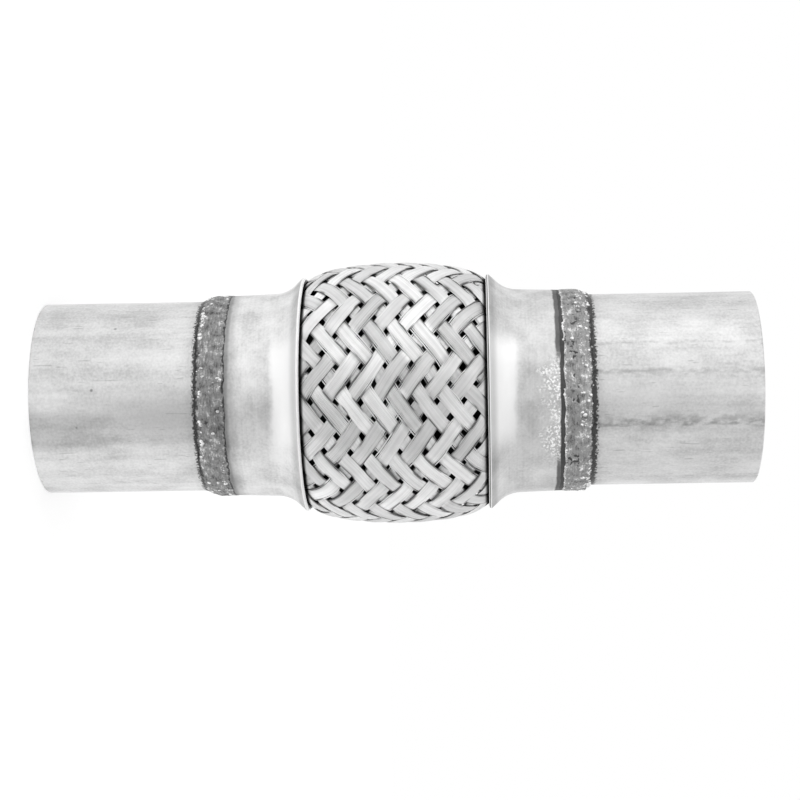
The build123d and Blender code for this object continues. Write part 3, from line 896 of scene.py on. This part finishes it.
# bellows
def bellows_outline():
    """Section of the bellows: along the outside of its wave and back along the inside."""
    steps = 14
    half = bellows_wall / 2
    cuff = ring_radius + layer_gap + half
    depth = bellows_high.x - half - cuff
    start = middle - convolution_count * convolution_pitch / 2
    centre = [(cuff, bellows_low.z, 0.0)]
    for i in range(convolution_count * steps + 1):
        phase = 2 * math.pi * i / steps
        wave = (1 - math.cos(phase)) / 2
        full_wave = wave * wave * (3 - 2 * wave)
        slope = math.atan2(math.sin(phase) * depth * 3, convolution_pitch)
        centre.append((cuff + depth * full_wave, start + convolution_pitch * i / steps, slope))
    centre.append((cuff, bellows_high.z, 0.0))
    outside = [(r + half * math.cos(a), z - half * math.sin(a)) for r, z, a in centre]
    inside = [(r - half * math.cos(a), z + half * math.sin(a)) for r, z, a in centre]
    return outside + inside[::-1]


# hydraulically formed stainless sheet, smooth, and painted dark to stand for the shade seen through the
# braid's holes
shade_dark_bellows_steel = clouded_steel("formed bellows sheet", [(0.35, "#2A2A2A"), (0.65, "#484848")], 0.5)
bellows = lathe("corrugated_bellows", bellows_outline(), 64, shade_dark_bellows_steel)
settle_flexing(bellows, "bellows")

# liner, the interlocked strip wound as a helix of square ribs that runs out at both ends
liner_segments = 80
rows_per_rib = 12
ribs_each_side = 6
liner_radius = bore_radius + layer_gap
liner_rib_height = liner_high.x - liner_radius - liner_strip
ribs_start = middle - ribs_each_side * liner_rib_pitch
ribs_end = middle + ribs_each_side * liner_rib_pitch
rib_rows = 2 * ribs_each_side * rows_per_rib
rib_heights = [ribs_start + (ribs_end - ribs_start) * row / rib_rows for row in range(rib_rows + 1)]


def liner_section(angle):
    """Section of the liner's wall at an angle: up its inner face and down its outer face."""
    half_groove, flank = 0.2, 0.06
    inner = []
    for height in [liner_low.z, *rib_heights, liner_high.z]:
        turn = ((height - ribs_start) / liner_rib_pitch + angle / (2 * math.pi)) % 1
        sunk = min(max((abs(turn - 0.5) - half_groove) / flank, 0), 1)
        from_ends = min((height - ribs_start) / liner_rib_pitch, (ribs_end - height) / liner_rib_pitch)
        run_out = max(min(1, from_ends), 0)
        inner.append((liner_radius + liner_rib_height * (1 - sunk) * run_out, height))
    return inner + [(radius + liner_strip, height) for radius, height in reversed(inner)]


# interlocked stainless strip, a little blurred and pale
liner_steel = clouded_steel("interlocked liner strip", [(0.35, "#A6A6A6"), (0.65, "#C4C4C4")], 0.35)
liner = lathe("wound_liner", liner_section, liner_segments, liner_steel)
settle_flexing(liner, "liner")

# inner rings keep their CAD shape, in plain turned steel, pale and evenly dull
ring_steel = clouded_steel("turned ring steel", [(0.35, "#A5A5A5"), (0.65, "#BFBFBF")], 0.4)
for end in ("inlet", "outlet"):
    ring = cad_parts[f"{end}_inner_ring"]
    ring.data.materials.clear()
    ring.data.materials.append(ring_steel)

# braid
wire_steel = drawn_wire_steel()
bundle_tree = wire_bundle_tree(wire_steel)
bundle = {
    "Wires": wires_in_strand,
    "Wire Radius": wire_radius,
    "Bundle Width": strand_width * wire_spread,
    "Breathing": 0.25,
    "Stray": 0.55 * mm,
    "Crown": 0.14 * mm,
    "Jitter": 0.12 * mm,
}
for hand_name, hand, start_angle, first_seed in (
    ("right", 1, 0.0, 100),
    ("left", -1, turn_per_crossing, 200),
):
    for number in range(strands_each_way):
        node = f"{hand_name}_strand_{number + 1:02d}"
        seed = first_seed + number
        path = strand_path(f"{node} path", start_angle + number * 2 * turn_per_crossing, hand, seed)
        strand = made_plain(path, bundle_tree, {**bundle, "Seed": seed}, f"{node}_wires", wire_steel)
        settle_flexing(strand, node)

# camera, at the photograph's angle: level with the pipe and turned on its side
image_width = 800
focal_pixels = 1894.0
camera_distance = 540 * mm
camera_yaw = math.radians(2.3)
camera_roll = math.radians(0.98)
pixels_up = 7.2
pixels_left = 2.0
right = Vector((0, math.sin(camera_yaw), math.cos(camera_yaw)))
up = Vector((-1, 0, 0))
back = right.cross(up)
rolled_right = right * math.cos(camera_roll) - up * math.sin(camera_roll)
rolled_up = right * math.sin(camera_roll) + up * math.cos(camera_roll)
per_pixel = camera_distance / focal_pixels
camera_data = bpy.data.cameras.new("camera")
camera_data.lens = focal_pixels / image_width * camera_data.sensor_width
camera = linked("camera", camera_data)
spot = Vector((0, 0, middle)) + back * camera_distance
spot += -rolled_up * pixels_up * per_pixel + rolled_right * pixels_left * per_pixel
basis = Matrix((rolled_right, rolled_up, back)).transposed().to_4x4()
camera.matrix_world = Matrix.Translation(spot) @ basis
bpy.context.scene.camera = camera


def seen_directly(tree):
    """1 where the camera or the steel sees a surface, and 0 where it only lights the object."""
    rays = add(tree, "ShaderNodeLightPath").outputs
    seen = [rays["Is Camera Ray"], rays["Is Glossy Ray"]]
    either = add(tree, "ShaderNodeMath", seen, operation="MAXIMUM")
    return add(tree, "ShaderNodeMath", [either, rays["Is Transmission Ray"]], operation="MAXIMUM")


# floor, white to the camera and in the steel, with the object's soft shadow
floor_size = 4.0
floor_glow = 0.40
bpy.ops.mesh.primitive_plane_add(size=floor_size)
floor = bpy.context.object
floor.name = "floor"
floor_material, tree = new_material("pale floor")
glow_strength = add(tree, "ShaderNodeMath", [seen_directly(tree), floor_glow], operation="MULTIPLY")
glow = add(tree, "ShaderNodeEmission", [white, glow_strength])
matt = add(tree, "ShaderNodeBsdfDiffuse", [linear("#DEDEDE")])
add(tree, "ShaderNodeOutputMaterial", {"Surface": add(tree, "ShaderNodeAddShader", [glow, matt])})
floor.data.materials.append(floor_material)

# world, an even white studio: 1 is white to the camera and in the steel
studio_level = 0.85
world = bpy.data.worlds.new("white studio")
world.use_nodes = True
bpy.context.scene.world = world
tree = world.node_tree
tree.nodes.clear()
strength = add(tree, "ShaderNodeMix", [seen_directly(tree), studio_level, 1.0])
background = add(tree, "ShaderNodeBackground", [white, strength])
add(tree, "ShaderNodeOutputWorld", {"Surface": background})

# upright grey cards in front and below, which only reflections see, darkest at the foot and fading
# towards the sides and top. Sizes are in metres: distance, width, foot and top
corners = [(-1, 0), (1, 0), (1, 1), (-1, 1)]
for name, turn, distance, width, foot, top, foot_grey, grey in (
    ("camera side card", math.radians(22), 0.13, 0.22, 0.001, 0.25, "#969696", "#D8D8D8"),
    ("lower side card", math.radians(90), 0.5, 1.6, 0.0, 0.9, "#EBEBEB", "#EBEBEB"),
):
    low_centre = Vector((math.sin(turn) * distance, -math.cos(turn) * distance, foot))
    half_across = Vector((math.cos(turn), math.sin(turn), 0)) * width / 2
    upright = Vector((0, 0, top - foot))
    places = [low_centre + half_across * side + upright * level for side, level in corners]
    mesh = bpy.data.meshes.new(name)
    mesh.from_pydata(places, [], [(0, 1, 2, 3)])
    on_card = mesh.attributes.new("on_card", "FLOAT_VECTOR", "POINT")
    on_card.data.foreach_set("vector", [part for side, level in corners for part in (side, level, 0)])
    material, tree = new_material(name)
    mesh.materials.append(material)
    spot = add(tree, "ShaderNodeAttribute", attribute_name="on_card").outputs["Vector"]
    axes = add(tree, "ShaderNodeSeparateXYZ", [spot]).outputs
    from_centre = add(tree, "ShaderNodeMath", [axes["X"]], operation="ABSOLUTE")
    fade = share_within(tree, (from_centre, 0.1, 1.0, 1.0, 0.0), (axes["Y"], 0.8, 1.0, 1.0, 0.0))
    shade = add(tree, "ShaderNodeValToRGB", [axes["Y"]], [(0.0, foot_grey), (0.35, grey)])
    clear = add(tree, "ShaderNodeBsdfTransparent")
    glow = add(tree, "ShaderNodeEmission", [shade, 1.0])
    add(tree, "ShaderNodeOutputMaterial", {"Surface": add(tree, "ShaderNodeMixShader", [fade, clear, glow])})
    card = linked(name, mesh)
    card.visible_camera = False
    card.visible_diffuse = False
    card.visible_shadow = False

# soft lamps that face the middle of the pipe: place and size in metres, and watts
for name, place, size, watts in (
    ("upper soft lamp", (-1.0, -0.5, 0.4), 1.2, 1.2),
    ("lower soft lamp", (1.0, -0.3, 0.3), 1.2, 0.4),
    ("front soft lamp", (0.0, -0.8, 0.85), 0.7, 1.2),
):
    light = bpy.data.lights.new(name, "AREA")
    light.size = size
    light.energy = watts
    lamp = linked(name, light)
    lamp.location = place
    lamp.rotation_euler = (Vector((0, 0, middle)) - Vector(place)).to_track_quat("-Z", "Y").to_euler()

bpy.context.scene.view_settings.view_transform = "Standard"
